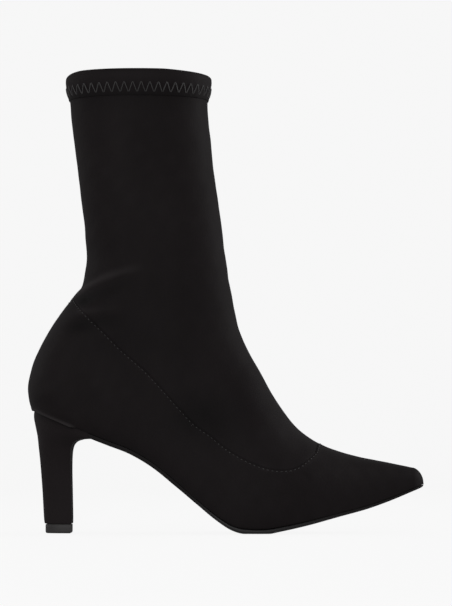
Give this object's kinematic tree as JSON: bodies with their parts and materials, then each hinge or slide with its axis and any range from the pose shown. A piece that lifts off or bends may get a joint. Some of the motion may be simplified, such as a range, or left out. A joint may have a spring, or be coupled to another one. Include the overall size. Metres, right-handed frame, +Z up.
{
  "type": "stiletto boot",
  "caption": "Pointed-toe sock boot with a hollow stretch-suede upper open at the collar, a turned hem, a thin sole and a slim covered high heel with a rubber lift",
  "frame": {"origin": "on the floor, under the middle of the boot's bounding box", "axes": "+X towards the toe, +Y towards the inner side of the right foot, +Z up; the outer side that the picture shows is -Y"},
  "size_m": [0.2505, 0.0784, 0.291],
  "materials": {
    "suede": "black stretch faux suede with a short soft nap",
    "hem": "black turned hem of the same stretch suede",
    "insole_cloth": null,
    "sole_rubber": "black smooth satin sole",
    "heel_cover": "heel block covered with black suede cloth",
    "lift_rubber": "dark grey satin rubber lift"
  },
  "bodies": {
    "root": {"upper": "suede", "collar_band": "hem", "insole": "insole_cloth", "outsole": "sole_rubber", "heel": "heel_cover", "heel_top_piece": "lift_rubber"}
  },
  "joints": []
}
